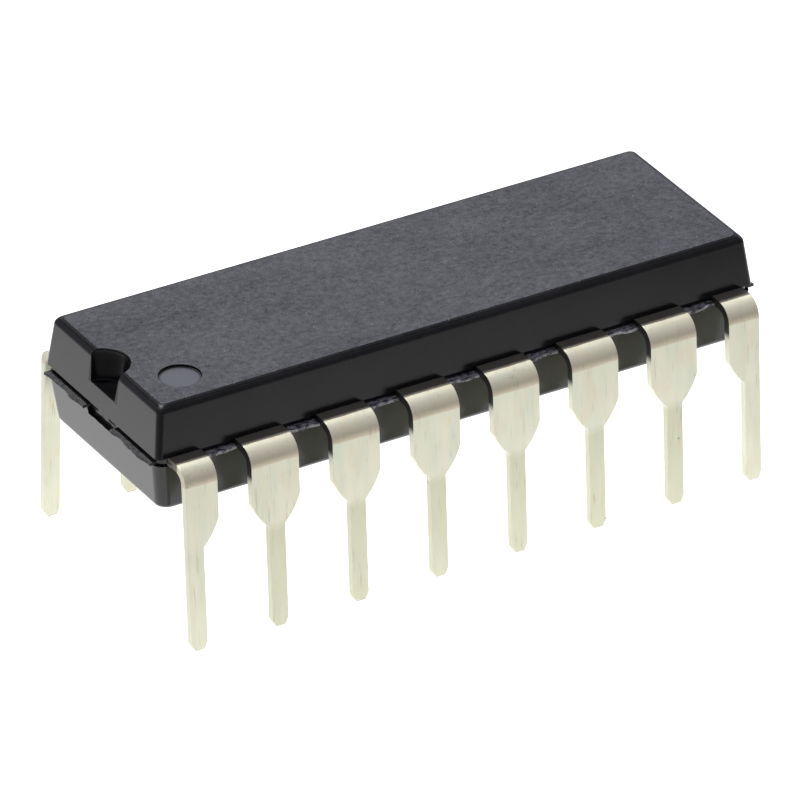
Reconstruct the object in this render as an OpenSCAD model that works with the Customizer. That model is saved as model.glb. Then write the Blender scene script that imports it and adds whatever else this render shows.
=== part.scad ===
// Sixteen-lead dual in-line integrated circuit.
// A black epoxy body is moulded round a stamped lead frame, and the leads are then tinned,
// cut from the frame and bent down into two rows.
// Sizes are in millimetres. X runs along the body, away from the notched end, Y runs across it
// and Z points up. The origin lies under the middle of the part, in the plane of the lead tips.

/* [Body] */
// Length of the body at its parting plane
body_l = 19; // [18.7:0.05:19.4]
// Width of the body at its parting plane
body_w = 6.3; // [6:0.05:6.6]
// Height of the body above the lead frame
upper_h = 1.5; // [1.35:0.05:1.8]
// Height of the body below the lead frame
lower_h = 1.52; // [1.35:0.01:1.8]
// Draft of the four walls, in degrees from the vertical
draft = 7; // [4:0.5:12]
// Radius of the edge round the top face
top_edge_r = 0.24; // [0.1:0.02:0.34]
// Radius of the edge round the underside
low_edge_r = 0.24; // [0.1:0.02:0.34]
// Radius of the upright corners above the lead frame
upper_corner_r = 0.18; // [0.08:0.02:0.3]
// Radius of the upright corners below the lead frame
lower_corner_r = 0.34; // [0.1:0.02:0.45]

/* [Marks in the body] */
// Radius of the half-round notch at the top face
notch_r = 0.8; // [0.7:0.02:1]
// Radius of the notch at its floor
notch_floor_r = 0.66; // [0.5:0.02:0.7]
// Depth of the notch below the top face
notch_depth = 0.9; // [0.5:0.05:1.1]
// Distance of the notch's axis outside the end of the top face
notch_out = 0.14; // [0:0.01:0.3]
// Diameter of the round recess beside the first lead
dimple_d = 1.18; // [0.8:0.02:1.4]
// Depth of the round recess
dimple_depth = 0.07; // [0.04:0.01:0.2]
// Distance from the end of the top face to the middle of the round recess
dimple_from_end = 1.38; // [1:0.02:1.8]
// Distance from the front edge of the top face to the middle of the round recess
dimple_from_side = 1.3; // [1:0.02:1.6]
// Diameter of the two ejector marks in the underside
ejector_d = 1.5; // [1:0.1:2]
// Depth of the ejector marks
ejector_depth = 0.06; // [0.03:0.01:0.15]
// Distance of each ejector mark from the middle of the underside
ejector_x = 6.2; // [5:0.1:7]

/* [Resin flash] */
// Thickness of the flash that the mould left round the parting plane
flash_t = 0.1; // [0.04:0.01:0.12]
// Furthest reach of the flash from the ends of the body
end_flash = 0.22; // [0.1:0.01:0.3]
// Furthest reach of the flash between the leads, up to the cut dam bar
side_flash = 0.25; // [0.1:0.01:0.3]
// Distance from the body's corners at which the flash on the ends stops
flash_corner = 0.25; // [0.2:0.05:0.8]
// Spacing of the points along the broken edge of the flash
flash_pitch = 0.3; // [0.25:0.05:0.5]

/* [Leads] */
// Distance between neighbouring leads
pitch = 2.54; // [2.5:0.01:2.56]
// Thickness of the lead frame
frame_t = 0.25; // [0.2:0.01:0.3]
// Width of the pin below the shoulder
pin_w = 0.5; // [0.38:0.02:0.56]
// Height of the seating plane, where the shoulder ends, above the lead tips
seat_z = 3.1; // [2.9:0.05:3.8]
// Width of the shoulder
shoulder_w = 1.5; // [1.3:0.02:1.7]
// Height of the body's underside above the seating plane
stand_off = 0.7; // [0.5:0.05:0.9]
// Radius of the curve in which the shoulder narrows to the pin
shoulder_r = 2; // [1.4:0.1:3]
// Angle from the upright at which that curve leaves the shoulder's side
shoulder_turn = 18; // [8:1:26]
// Level part of the lead between the body and the bend
flat_l = 0.35; // [0.3:0.01:0.6]
// Inner radius of the bend
bend_r = 0.3; // [0.2:0.01:0.4]
// Outward lean of the leads from the vertical, in degrees
splay = 2.8; // [0:0.2:6]
// Width of the pointed tip
tip_w = 0.3; // [0.16:0.02:0.36]
// Height of the point
tip_h = 0.22; // [0.1:0.02:0.4]

/* [Fingers inside the body] */
// How far the full shoulder width reaches into the body
root_l = 0.45; // [0.3:0.05:0.6]
// Width of a finger where it leaves its root
finger_w = 0.6; // [0.4:0.02:0.7]
// Width of a finger at its knee, half way in
finger_knee_w = 0.48; // [0.3:0.02:0.5]
// Width of a finger at its inner end
finger_tip_w = 0.28; // [0.2:0.01:0.3]
// Straight run of a finger past its root
finger_run = 0.1; // [0.05:0.01:0.2]
// Corner cut by the fingers that end at the paddle's sides
side_finger_cut = 0.2; // [0.1:0.02:0.4]
// Corner cut by the fingers that end at the paddle's ends
end_finger_cut = 0.55; // [0.4:0.05:0.7]
// Gap between the fingers' inner ends and the paddle
finger_gap = 0.2; // [0.12:0.01:0.3]
// Length of the straight inner end of a finger
finger_end_l = 0.4; // [0.3:0.05:0.6]
// Spacing of the fingers along the paddle's sides
side_finger_pitch = 1; // [0.9:0.02:1.1]
// Distance from the body's middle line to the inner finger at the paddle's ends
end_finger_y = 0.5; // [0.44:0.01:0.6]
// Spacing of the two fingers at each quarter of the paddle's ends
end_finger_pitch = 0.5; // [0.4:0.01:0.6]

/* [Die paddle] */
// Length of the paddle
paddle_l = 3.8; // [3.4:0.1:4.2]
// Width of the paddle
paddle_w = 2.5; // [2.2:0.05:2.8]
// How far the paddle is pressed down below the fingers
down_set = 0.2; // [0.1:0.02:0.3]
// Length of the slope from the tie bar down to the paddle
down_set_l = 0.35; // [0.2:0.05:0.5]
// Level part of the tie bar between the slope and the paddle
down_set_gap = 0.1; // [0.05:0.01:0.2]
// Width of the tie bars beside the fingers
tie_w = 0.4; // [0.3:0.02:0.5]
// Width of the tie bars where they leave the body
tie_end_w = 1.5; // [1:0.05:1.8]
// Length of the wide end of the tie bars
tie_end_l = 1; // [0.6:0.05:1.4]
// Depth of the broken window in which each tie bar ends
window_depth = 0.14; // [0.05:0.01:0.25]
// How far the window reaches below the tie bar
window_drop = 0.18; // [0.05:0.01:0.2]

/* [Die and wires] */
// Length of the die
die_l = 2.6; // [2.2:0.1:3]
// Width of the die
die_w = 1.7; // [1.5:0.05:1.9]
// Thickness of the die
die_t = 0.3; // [0.2:0.01:0.4]
// Thickness of the adhesive under the die
attach_t = 0.03; // [0.02:0.005:0.06]
// How far the adhesive spreads past the die
attach_rim = 0.08; // [0.04:0.01:0.15]
// Distance from the die's edge to the middle of a bond
bond_inset = 0.12; // [0.1:0.01:0.2]
// Where the bonds at the die's sides lie, as a share of their fingers' distance from its middle
side_bond_share = 0.6; // [0.5:0.02:0.66]
// The same share for the bonds at the die's ends
end_bond_share = 0.68; // [0.6:0.02:0.74]
// Distance from a finger's end to the foot of its wire
foot_inset = 0.14; // [0.1:0.01:0.2]
// Diameter of the bond wire
wire_d = 0.03; // [0.025:0.005:0.04]
// Diameter of the ball at the die
ball_d = 0.09; // [0.08:0.005:0.12]
// Height of the ball
ball_h = 0.035; // [0.02:0.005:0.05]
// Height of the wire's loop above the die
loop_h = 0.24; // [0.15:0.01:0.35]

/* [Hidden] */
ROW_LEADS = 8;
LEADS = 2 * ROW_LEADS;
$fn = 48;

// How far a cut or a strip of flash runs past the face that it starts from
OVER = 0.2;

// Steps round each upright corner, each long edge and each lower corner of a shoulder
CORNER_STEPS = 5;
EDGE_STEPS = 5;
SHOULDER_STEPS = 6;

// Broken edge of the flash: the share of its reach that it keeps, and its waves,
// each with a height, a turn in degrees per millimetre and a start
FLASH_KEPT = 0.74;
FLASH_WAVES = [[0.16, 210, 0], [0.1, 475, 60]];

// Bond wires: sides and steps of the wire, widths and heights of its ball as shares of the ball's size,
// and the curve's two handles as shares of the loop's height and of its run
WIRE_SIDES = 6;
WIRE_STEPS = 9;
BALL_RINGS = [[0.84, 0], [1, 0.45], [0.72, 0.9]];
RISE_SHARE = 1.9;
FALL_SHARE = 1.1;
FALL_RUN = 0.45;
LANDING = 1.4;
NUDGE = 0.01;

// Levels, from the lead tips up
under_z = seat_z + stand_off;
frame_z = under_z + lower_h;
frame_top = frame_z + frame_t;
top_z = frame_top + upper_h;

// Half sizes of the body's flat faces, where the drafted walls would meet them
top_half_l = body_l / 2 - upper_h * tan(draft);
top_half_w = body_w / 2 - upper_h * tan(draft);

// Lead forming
bend_y = body_w / 2 + flat_l;
bend_z = frame_z - bend_r;
leg_l = (bend_z + bend_r * sin(splay)) / cos(splay);
pin_l = seat_z / cos(splay);

// Die stack, from the paddle up
paddle_z = frame_z - down_set;
attach_z = paddle_z + frame_t;
die_z = attach_z + attach_t;
die_top = die_z + die_t;

function two_digits(k) = str(k < 10 ? "0" : "", k);
function lead_name(k) = str("lead_", two_digits(k));
function wire_name(k) = str("bond_wire_", two_digits(k));

// Skin between closed rings of points, which all hold the same number of points
module loft(rings) {
    n = len(rings[0]);
    last = (len(rings) - 1) * n;
    sides = [
        for (r = [0:len(rings) - 2], i = [0:n - 1])
            [r * n + i, r * n + (i + 1) % n, (r + 1) * n + (i + 1) % n, (r + 1) * n + i]
    ];
    split = [for (s = sides) each [[s[0], s[2], s[1]], [s[0], s[3], s[2]]]];
    low_cap = [for (i = [0:n - 1]) i];
    high_cap = [for (i = [n - 1:-1:0]) last + i];
    polyhedron(points = [for (ring = rings) each ring], faces = concat(split, [low_cap], [high_cap]));
}

// Rounded rectangle at height z, inset from the parting outline, with corners of radius r
function body_ring(inset, r, z) = [
    for (corner = [0:3], i = [0:CORNER_STEPS])
        let (
            a = 90 * (corner + i / CORNER_STEPS),
            sx = corner == 0 || corner == 3 ? 1 : -1,
            sy = corner < 2 ? 1 : -1
        )
        [sx * (body_l / 2 - inset - r) + r * cos(a), sy * (body_w / 2 - inset - r) + r * sin(a), z]
];

// Rings up one half of the body, from the frame's face to its outer face; side is 1 upwards, -1 downwards
function half_rings(h, edge_r, corner_r, base_z, side) =
    let (
        touch_h = h - edge_r + edge_r * sin(draft),
        centre_in = touch_h * tan(draft) + edge_r * cos(draft)
    )
    concat(
        [body_ring(0, corner_r, base_z)],
        [
            for (i = [0:EDGE_STEPS])
                let (a = draft + (90 - draft) * i / EDGE_STEPS)
                body_ring(
                    centre_in - edge_r * cos(a),
                    corner_r,
                    base_z + side * (h - edge_r + edge_r * sin(a))
                )
        ]
    );

function reversed(list) = [for (i = [len(list) - 1:-1:0]) list[i]];

// Body without its marks, as one closed form
module body_form() {
    loft(concat(
        reversed(half_rings(lower_h, low_edge_r, lower_corner_r, frame_z, -1)),
        [body_ring(0, upper_corner_r, frame_z + flash_t)],
        half_rings(upper_h, top_edge_r, upper_corner_r, frame_top, 1)
    ));
}

function sum(list) = list * [for (v = list) 1];

// Reach of the flash at distance s along its edge, as a share of its furthest reach
function ragged(s) = FLASH_KEPT + sum([for (w = FLASH_WAVES) w[0] * sin(w[1] * s + w[2])]);

// Strip of flash along X, which starts inside the wall and ends in a broken edge
module flash_strip(from, to, reach) {
    steps = ceil((to - from) / flash_pitch);
    edge = [
        for (i = [0:steps])
            let (s = from + (to - from) * i / steps)
            [s, -reach * ragged(s)]
    ];
    linear_extrude(flash_t) polygon(concat([[to, OVER], [from, OVER]], edge));
}

module side_flash_strip() {
    end = body_l / 2 - lower_corner_r;
    translate([0, -body_w / 2, frame_z]) flash_strip(-end, end, side_flash);
}

module end_flash_strips() {
    outer = body_w / 2 - flash_corner;
    inner = tie_end_w / 2;
    translate([-body_l / 2, 0, frame_z]) rotate([0, 0, -90]) {
        flash_strip(-outer, -inner, end_flash);
        flash_strip(inner, outer, end_flash);
    }
}

// The same shape at both ends, or along both sides, half a turn apart
module both_ways() {
    children();
    rotate([0, 0, 180]) children();
}

module notch_cut() {
    slope = (notch_r - notch_floor_r) / notch_depth;
    translate([-top_half_l - notch_out, 0, top_z - notch_depth])
        cylinder(h = notch_depth + OVER, r1 = notch_floor_r, r2 = notch_r + slope * OVER);
}

module dimple_cut() {
    translate([dimple_from_end - top_half_l, dimple_from_side - top_half_w, top_z - dimple_depth])
        cylinder(h = dimple_depth + OVER, d = dimple_d);
}

module ejector_cuts() {
    for (side = [-1, 1])
        translate([side * ejector_x, 0, under_z - OVER])
            cylinder(h = ejector_depth + OVER, d = ejector_d);
}

module window_cut() {
    translate([-body_l / 2 - OVER, -tie_end_w / 2, frame_z - window_drop])
        cube([OVER + window_depth, tie_end_w, window_drop + frame_t]);
}

module mould_body() {
    color("#3c3d40") difference() {
        union() {
            body_form();
            both_ways() side_flash_strip();
            both_ways() end_flash_strips();
        }
        notch_cut();
        dimple_cut();
        ejector_cuts();
        both_ways() window_cut();
        for (k = [1:LEADS]) lead_blank(k);
        paddle_form();
        attach_form();
        die_form();
        for (k = [1:LEADS]) wire_form(k);
    }
}

// Place of lead k along its row; leads of the back row are the front row turned half round
function row_index(k) = k > ROW_LEADS ? k - ROW_LEADS : k;
function lead_x(k) = (row_index(k) - (ROW_LEADS + 1) / 2) * pitch;
module in_row(k) {
    rotate([0, 0, k > ROW_LEADS ? 180 : 0]) children();
}

// Half widths of the shoulder to the left and right; the end leads have a shoulder on one side only
function left_half(k) = row_index(k) == 1 ? pin_w / 2 : shoulder_w / 2;
function right_half(k) = row_index(k) == ROW_LEADS ? pin_w / 2 : shoulder_w / 2;

// Direction along X from a lead to the middle of the row, and its count from the middle
function inward(k) = lead_x(k) < 0 ? 1 : -1;
function from_middle(k) = abs(row_index(k) - (ROW_LEADS + 1) / 2) - 0.5;
function serves_side(k) = from_middle(k) < 2;

// Inner end of a finger and the direction in which it runs there
function finger_end(k) =
    serves_side(k)
        ? [-inward(k) * (from_middle(k) + 0.5) * side_finger_pitch, -paddle_w / 2 - finger_gap]
        : [
            -inward(k) * (paddle_l / 2 + finger_gap),
            -end_finger_y - (ROW_LEADS / 2 - 1 - from_middle(k)) * end_finger_pitch
        ];
function finger_way(k) = serves_side(k) ? [0, 1] : [inward(k), 0];

// Line of a finger from its root in the body's wall to its inner end
function finger_route(k) =
    let (
        root_y = -body_w / 2 + root_l,
        end = finger_end(k),
        cut = serves_side(k) ? side_finger_cut : end_finger_cut
    )
    [
        [lead_x(k), root_y - root_l / 2],
        [lead_x(k), root_y + finger_run],
        [lead_x(k) + inward(k) * cut, root_y + cut],
        end - finger_way(k) * finger_end_l,
        end
    ];
FINGER_WIDTHS = [finger_w, finger_w, finger_knee_w, finger_tip_w, finger_tip_w];

function unit(v) = v / norm(v);
function across(v) = [-v[1], v[0]];

// Outline of a strip that follows a line of points with a width at each, mitred where it turns
function side_point(route, widths, i, side) =
    let (
        last = len(route) - 1,
        before = unit(i > 0 ? route[i] - route[i - 1] : route[1] - route[0]),
        after = unit(i < last ? route[i + 1] - route[i] : route[last] - route[last - 1]),
        bisector = unit(across(before) + across(after))
    )
    route[i] + bisector * side * widths[i] / 2 / (bisector * across(after));
function strip_outline(route, widths) = concat(
    [for (i = [0:len(route) - 1]) side_point(route, widths, i, 1)],
    [for (i = [len(route) - 1:-1:0]) side_point(route, widths, i, -1)]
);

// Level part of lead k: its finger, its root in the body's wall and the flat out to the bend
module lead_blank(k) {
    in_row(k) translate([0, 0, frame_z]) linear_extrude(frame_t) {
        polygon(strip_outline(finger_route(k), FINGER_WIDTHS));
        translate([lead_x(k) - left_half(k), -bend_y])
            square([left_half(k) + right_half(k), flat_l + root_l]);
    }
}

// One lower edge of the shoulder, from the full width in to the pin, as seen from the front
function shoulder_edge(half) =
    let (
        last_turn = acos(cos(shoulder_turn) - (half - pin_w / 2) / shoulder_r),
        share = (last_turn - shoulder_turn) / SHOULDER_STEPS
    )
    [
        if (half > pin_w / 2)
            for (i = [0:SHOULDER_STEPS - 1])
                let (a = shoulder_turn + i * share)
                [
                    half - shoulder_r * (cos(shoulder_turn) - cos(a)),
                    pin_l + shoulder_r * (sin(last_turn) - sin(a))
                ]
    ];

// Outline of the leg, from its tip up to the bend
function leg_side(half) = concat(
    [[half, leg_l]],
    shoulder_edge(half),
    [[pin_w / 2, pin_l], [pin_w / 2, tip_h], [tip_w / 2, 0]]
);
function flipped(points) = [for (p = reversed(points)) [-p[0], p[1]]];

module leg(k) {
    outline = concat(leg_side(right_half(k)), flipped(leg_side(left_half(k))));
    rotate([-splay, 0, 0]) translate([0, -bend_r, -leg_l]) rotate([90, 0, 0])
        linear_extrude(frame_t) polygon(outline);
}

module bend(k) {
    rotate([180, -90, 0]) rotate_extrude(angle = 90 - splay)
        translate([bend_r, -left_half(k)]) square([frame_t, left_half(k) + right_half(k)]);
}

module lead(k) {
    color("#dcdacb") {
        lead_blank(k);
        in_row(k) translate([lead_x(k), -bend_y, bend_z]) {
            bend(k);
            leg(k);
        }
    }
}

// Side view of the paddle and its tie bars, which step down to the paddle
module paddle_profile() {
    end = body_l / 2 - window_depth;
    step = paddle_l / 2 + down_set_gap;
    upper = [
        [-end, 0], [-step - down_set_l, 0], [-step, -down_set],
        [step, -down_set], [step + down_set_l, 0], [end, 0]
    ];
    translate([0, paddle_w / 2, frame_z]) rotate([90, 0, 0]) linear_extrude(paddle_w)
        polygon(concat(upper, [for (p = reversed(upper)) p + [0, frame_t]]));
}

module paddle_outline() {
    square([paddle_l, paddle_w], center = true);
    square([body_l, tie_w], center = true);
    for (side = [-1, 1])
        translate([side * (body_l / 2 - tie_end_l / 2), 0])
            square([tie_end_l, tie_end_w], center = true);
}

module paddle_form() {
    intersection() {
        paddle_profile();
        translate([0, 0, paddle_z - OVER])
            linear_extrude(frame_t + down_set + 2 * OVER) paddle_outline();
    }
}

module die_paddle() {
    color("#8d7a66") paddle_form();
}

module attach_form() {
    translate([-die_l / 2 - attach_rim, -die_w / 2 - attach_rim, attach_z])
        cube([die_l + 2 * attach_rim, die_w + 2 * attach_rim, attach_t]);
}

module die_attach() {
    color("#b9bcc0") attach_form();
}

module die_form() {
    translate([-die_l / 2, -die_w / 2, die_z]) cube([die_l, die_w, die_t]);
}

module silicon_die() {
    color("#5a6470") die_form();
}

// Places of the two ends of wire k, in plan
function foot(k) = finger_end(k) - finger_way(k) * foot_inset;
function bond(k) =
    serves_side(k)
        ? [finger_end(k)[0] * side_bond_share, -die_w / 2 + bond_inset]
        : [-inward(k) * (die_l / 2 - bond_inset), finger_end(k)[1] * end_bond_share];

// Centre line of a wire in its own upright plane, as a cubic curve: distance along it, and height
function loop_point(run, t) =
    let (
        start = [0, die_top + ball_h],
        rise = [0, die_top + loop_h * RISE_SHARE],
        fall = [run * FALL_RUN, die_top + loop_h * FALL_SHARE],
        end = [run - wire_d, frame_top + LANDING * wire_d]
    )
    pow(1 - t, 3) * start
        + 3 * pow(1 - t, 2) * t * rise
        + 3 * (1 - t) * t * t * fall
        + pow(t, 3) * end;
function loop_way(run, t) = unit(loop_point(run, t + NUDGE) - loop_point(run, t - NUDGE));

// Ring of radius r round the wire, square to its way in the upright plane
function wire_ring(centre, way, r) = [
    for (i = [0:WIRE_SIDES - 1])
        let (a = 360 * i / WIRE_SIDES)
        [centre[0] + r * cos(a) * way[1], r * sin(a), centre[1] - r * cos(a) * way[0]]
];

module wire_form(k) {
    run = norm(foot(k) - bond(k));
    turn = atan2((foot(k) - bond(k))[1], (foot(k) - bond(k))[0]);
    up = [0, 1];
    ball = [
        for (ring = BALL_RINGS)
            wire_ring([0, die_top + ball_h * ring[1]], up, ball_d / 2 * ring[0])
    ];
    loop = [
        for (i = [0:WIRE_STEPS])
            let (t = NUDGE + (1 - NUDGE) * i / WIRE_STEPS)
            wire_ring(loop_point(run, t), loop_way(run, t), wire_d / 2)
    ];
    stitch = [wire_ring([run, frame_top], -up, wire_d)];
    in_row(k) translate([bond(k)[0], bond(k)[1], 0]) rotate([0, 0, turn])
        loft(concat(ball, loop, stitch));
}

module bond_wire(k) {
    color("#d9a93a") wire_form(k);
}

mould_body();
die_paddle();
die_attach();
silicon_die();
for (k = [1:LEADS]) {
    lead(k);
    bond_wire(k);
}
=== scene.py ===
"""Dresses a sixteen-lead dual in-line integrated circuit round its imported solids.

A black epoxy body carries two rows of tinned leads. The body, the resin flash round its parting
plane and the leads are modelled here in millimetres, in the frame of the solids, and are then
brought to metres. The die, its paddle, the adhesive and the bond wires stay as they were packed.
X runs along the body, away from the notched end, Y runs across it and Z up from the lead tips.
"""

import logging
import math
import random
from collections.abc import Callable, Iterable
from dataclasses import dataclass
from enum import Enum
from functools import partial

import bmesh
import bpy
from mathutils import Matrix, Vector


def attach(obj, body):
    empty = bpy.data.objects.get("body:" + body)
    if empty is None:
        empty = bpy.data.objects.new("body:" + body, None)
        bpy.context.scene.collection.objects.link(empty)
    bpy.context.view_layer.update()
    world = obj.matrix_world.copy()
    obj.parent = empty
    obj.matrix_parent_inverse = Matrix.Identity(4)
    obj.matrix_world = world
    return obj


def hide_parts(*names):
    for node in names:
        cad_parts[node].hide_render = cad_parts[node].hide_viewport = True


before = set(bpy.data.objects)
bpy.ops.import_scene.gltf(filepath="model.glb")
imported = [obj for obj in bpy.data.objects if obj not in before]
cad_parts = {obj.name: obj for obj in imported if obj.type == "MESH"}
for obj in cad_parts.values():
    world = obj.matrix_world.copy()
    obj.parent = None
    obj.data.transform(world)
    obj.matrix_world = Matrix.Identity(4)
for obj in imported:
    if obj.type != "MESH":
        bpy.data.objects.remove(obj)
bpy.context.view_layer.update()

log = logging.getLogger("scene")

MM = 0.001
ROW_LEADS = 8
LEADS = 2 * ROW_LEADS
PICTURE_SIDE = 800

# Middle of a row, counted in leads from its first
ROW_MIDDLE = (ROW_LEADS - 1) / 2

# Distance in millimetres within which two spots count as one
NEAR = 1e-3

Test = Callable[[Vector, Vector], bool]
Pair = tuple[float, float]
Triple = tuple[float, float, float]
Piece = bpy.types.Object
Socket = bpy.types.NodeSocket
Adder = Callable[..., Socket]

# Setting of a Map Range node that eases in and out of both ends of its range
EASED = {"interpolation_type": "SMOOTHSTEP"}


class Element(Enum):
    """What a pick can choose, by the name of its list in an edit mesh."""

    VERT = "verts"
    EDGE = "edges"
    FACE = "faces"


class Slot(Enum):
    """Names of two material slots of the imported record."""

    EPOXY = "epoxy"
    TIN = "tinned_lead"


class Join(Enum):
    """How one closed form meets another."""

    ADD = "UNION"
    CUT = "DIFFERENCE"


class Shoulder(Enum):
    """Which sides of a lead's blade are shouldered out."""

    BOTH = "both"
    RIGHT = "right"
    LEFT = "left"


def linear(code: str) -> tuple[float, float, float, float]:
    """Turns an sRGB hex colour to linear red, green, blue and an alpha of one."""
    shares = [int(code[i : i + 2], 16) / 255 for i in (1, 3, 5)]
    return (*(s / 12.92 if s <= 0.04045 else ((s + 0.055) / 1.055) ** 2.4 for s in shares), 1.0)


def only(piece: Piece) -> None:
    """Selects one object, makes it active and leaves the rest alone.

    Args:
        piece: The object that the next operators act on.
    """
    bpy.ops.object.select_all(action="DESELECT")
    piece.select_set(True)
    bpy.context.view_layer.objects.active = piece


def settle(piece: Piece) -> None:
    """Brings an object's place, turn and scale into its mesh."""
    only(piece)
    bpy.ops.object.transform_apply(location=True, rotation=True, scale=True)


def modify(piece: Piece, kind: str, **settings: object) -> None:
    """Adds a modifier to a piece and applies it.

    Args:
        piece: The mesh object.
        kind: The modifier's type.
        settings: The modifier's own settings, by name.
    """
    only(piece)
    modifier = piece.modifiers.new(kind.lower(), kind)
    for key, value in settings.items():
        setattr(modifier, key, value)
    bpy.ops.object.modifier_apply(modifier=modifier.name)


def combine(piece: Piece, tool: Piece, join: Join) -> None:
    """Adds one closed form to another, or takes it away, and throws the tool out."""
    modify(piece, "BOOLEAN", object=tool, operation=join.value, solver="EXACT")
    bpy.data.objects.remove(tool, do_unlink=True)


def smooth(piece: Piece, angle: float) -> None:
    """Shades a piece smooth, but for edges over an angle in degrees, with broad faces flat."""
    only(piece)
    bpy.ops.object.shade_smooth_by_angle(angle=math.radians(angle))
    modify(piece, "WEIGHTED_NORMAL", mode="FACE_AREA", keep_sharp=True)


def to_metres(piece: Piece) -> None:
    """Scales a piece that was modelled in millimetres down to metres."""
    piece.scale = (MM, MM, MM)
    settle(piece)


class Work:
    """A mesh on the bench, open in edit mode."""

    def __init__(self, piece: Piece) -> None:
        """Opens a piece for editing.

        Args:
            piece: The mesh object.
        """
        self.piece = piece
        only(piece)
        bpy.ops.object.mode_set(mode="EDIT")

    @classmethod
    def start(
        cls, name: str, add: Callable[..., object], stretch: Triple, place: Triple, **more: object
    ) -> "Work":
        """Adds a primitive at its size and place and opens it for editing.

        Args:
            name: The object's name.
            add: The operator that adds the primitive.
            stretch: Its scale along the three axes.
            place: Its centre.
            more: Further settings of the operator.

        Returns:
            The primitive on the bench.
        """
        bpy.ops.object.select_all(action="DESELECT")
        add(location=place, **more)
        piece = bpy.context.active_object
        piece.name = piece.data.name = name
        piece.scale = stretch
        settle(piece)
        return cls(piece)

    @classmethod
    def box(cls, name: str, size: Triple, place: Triple) -> "Work":
        """Adds a box by its size and its centre and opens it for editing."""
        return cls.start(name, bpy.ops.mesh.primitive_cube_add, size, place, size=1)

    def pick(self, kind: Element, test: Test, newest: bool = False) -> None:
        """Selects the elements whose middle and direction pass a test.

        Args:
            kind: Vertices, edges or faces.
            test: Takes the middle and the normal, or an edge's own direction.
            newest: Whether only the newest of them is selected.
        """
        bpy.ops.mesh.select_mode(type=kind.name)
        bpy.ops.mesh.select_all(action="DESELECT")
        mesh = bmesh.from_edit_mesh(self.piece.data)
        found = []
        for element in getattr(mesh, kind.value):
            if kind is Element.EDGE:
                first, second = (v.co for v in element.verts)
                middle, way = (first + second) / 2, (second - first).normalized()
            else:
                middle = element.co if kind is Element.VERT else element.calc_center_median()
                way = element.normal
            if test(middle, way):
                found.append(element)
        for element in found[-1:] if newest else found:
            element.select_set(True)
        bmesh.update_edit_mesh(self.piece.data)

    def split(self, cuts: int) -> None:
        """Cuts every face into smaller ones."""
        self.pick(Element.FACE, lambda spot, way: True)
        bpy.ops.mesh.subdivide(number_cuts=cuts)

    def extrude(self, shift: Triple) -> None:
        """Extrudes what is picked and moves the new part by a shift."""
        bpy.ops.mesh.extrude_region_move(TRANSFORM_OT_translate={"value": shift})

    def resize(self, value: Triple, centre: Triple) -> None:
        """Scales what is picked about a centre."""
        bpy.ops.transform.resize(value=value, center_override=centre)

    def move(self, shift: Triple) -> None:
        """Moves what is picked by a shift."""
        bpy.ops.transform.translate(value=shift)

    def bevel(self, offset: float, segments: int) -> None:
        """Rounds the picked edges over, each side by an offset."""
        bpy.ops.mesh.bevel(offset=offset, segments=segments, affect="EDGES")

    def done(self) -> Piece:
        """Merges doubles, points all faces outwards and leaves edit mode.

        Returns:
            The finished mesh object, still in millimetres.
        """
        bpy.ops.mesh.select_all(action="SELECT")
        bpy.ops.mesh.remove_doubles(threshold=1e-5)
        bpy.ops.mesh.normals_make_consistent(inside=False)
        bpy.ops.object.mode_set(mode="OBJECT")
        return self.piece


def add_node(
    tree: bpy.types.NodeTree,
    kind: str,
    links: dict[str | int, object] | tuple[object, ...],
    take: str | int = 0,
    **settings: object,
) -> Socket | None:
    """Adds a node with its settings and links, and hands on one of its outputs.

    Args:
        tree: The node tree.
        kind: The node's type, without the ShaderNode that every type starts with.
        links: Its inputs in order, or by name or number: an output socket to link, or a value.
        take: Name or number of the output that is handed on.
        settings: The node's own settings, by name.

    Returns:
        The output, or nothing for a node that has none.
    """
    node = tree.nodes.new(f"ShaderNode{kind}")
    for key, value in settings.items():
        setattr(node, key, value)
    for key, value in links.items() if isinstance(links, dict) else enumerate(links):
        if isinstance(value, Socket):
            tree.links.new(value, node.inputs[key])
        else:
            node.inputs[key].default_value = value
    return node.outputs[take] if node.outputs else None


def metres(values: Iterable[float]) -> tuple[float, ...]:
    """Turns millimetres to metres."""
    return tuple(MM * value for value in values)


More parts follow.
